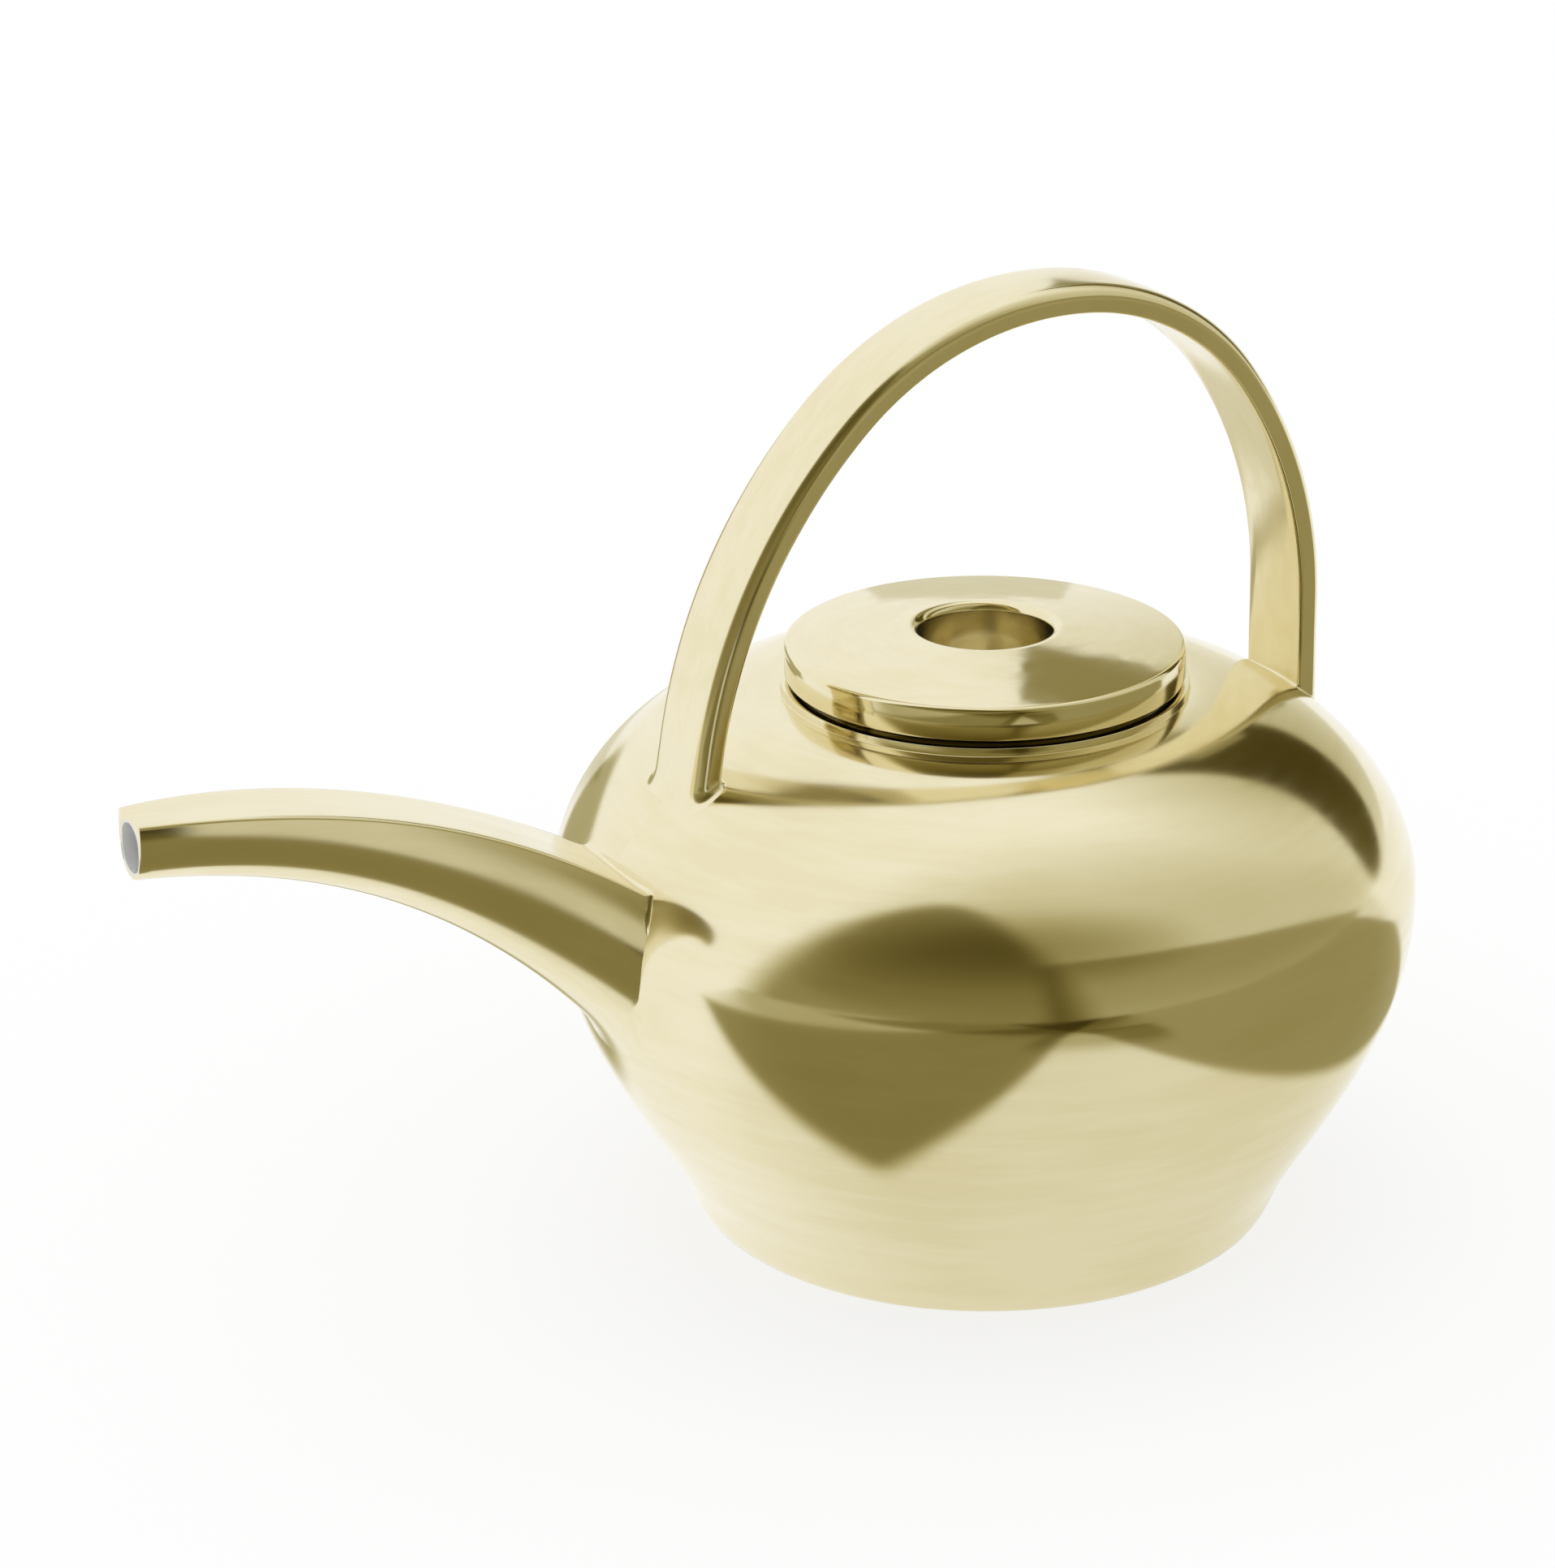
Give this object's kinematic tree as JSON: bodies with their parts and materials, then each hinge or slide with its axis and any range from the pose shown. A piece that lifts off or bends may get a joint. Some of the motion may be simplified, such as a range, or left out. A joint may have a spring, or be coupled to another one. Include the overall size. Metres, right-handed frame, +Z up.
{
  "type": "teapot",
  "caption": "Squat gold-finished pouring pot with a long curved spout, a tall overhead arch handle and a flat lid with a round finger well; the lid lifts off.",
  "frame": {"origin": "on the body's axis at table height, the centre of the sole of the foot", "axes": "+Z up; the spout points along -X; the arch handle stands in the XZ plane and its upright leg is on the +X side"},
  "size_m": [0.2716, 0.1784, 0.1947],
  "materials": {
    "gold_foot": "burnished gold over glazed porcelain",
    "gold_body": "burnished gold over glazed porcelain",
    "white_glaze": "white glaze",
    "gold_spout": "burnished gold over glazed porcelain",
    "gold_handle": "burnished gold over glazed porcelain",
    "gold_lid": "burnished gold over glazed porcelain"
  },
  "bodies": {
    "pot": {"foot_ring": "gold_foot", "lower_bowl": "gold_body", "shoulder": "gold_body", "mouth_ring": "gold_body", "glaze_lining": "white_glaze", "strainer": "white_glaze", "spout": "gold_spout", "spout_lining": "white_glaze", "handle": "gold_handle"},
    "lid": {"lid_cap": "gold_lid", "lid_well": "gold_lid", "lid_skirt": "white_glaze"}
  },
  "joints": [
    {"name": "lid_lift", "type": "slide", "parent": "pot", "child": "lid", "axis": [0, 0, 1], "range_m": [0, 0.035]}
  ]
}
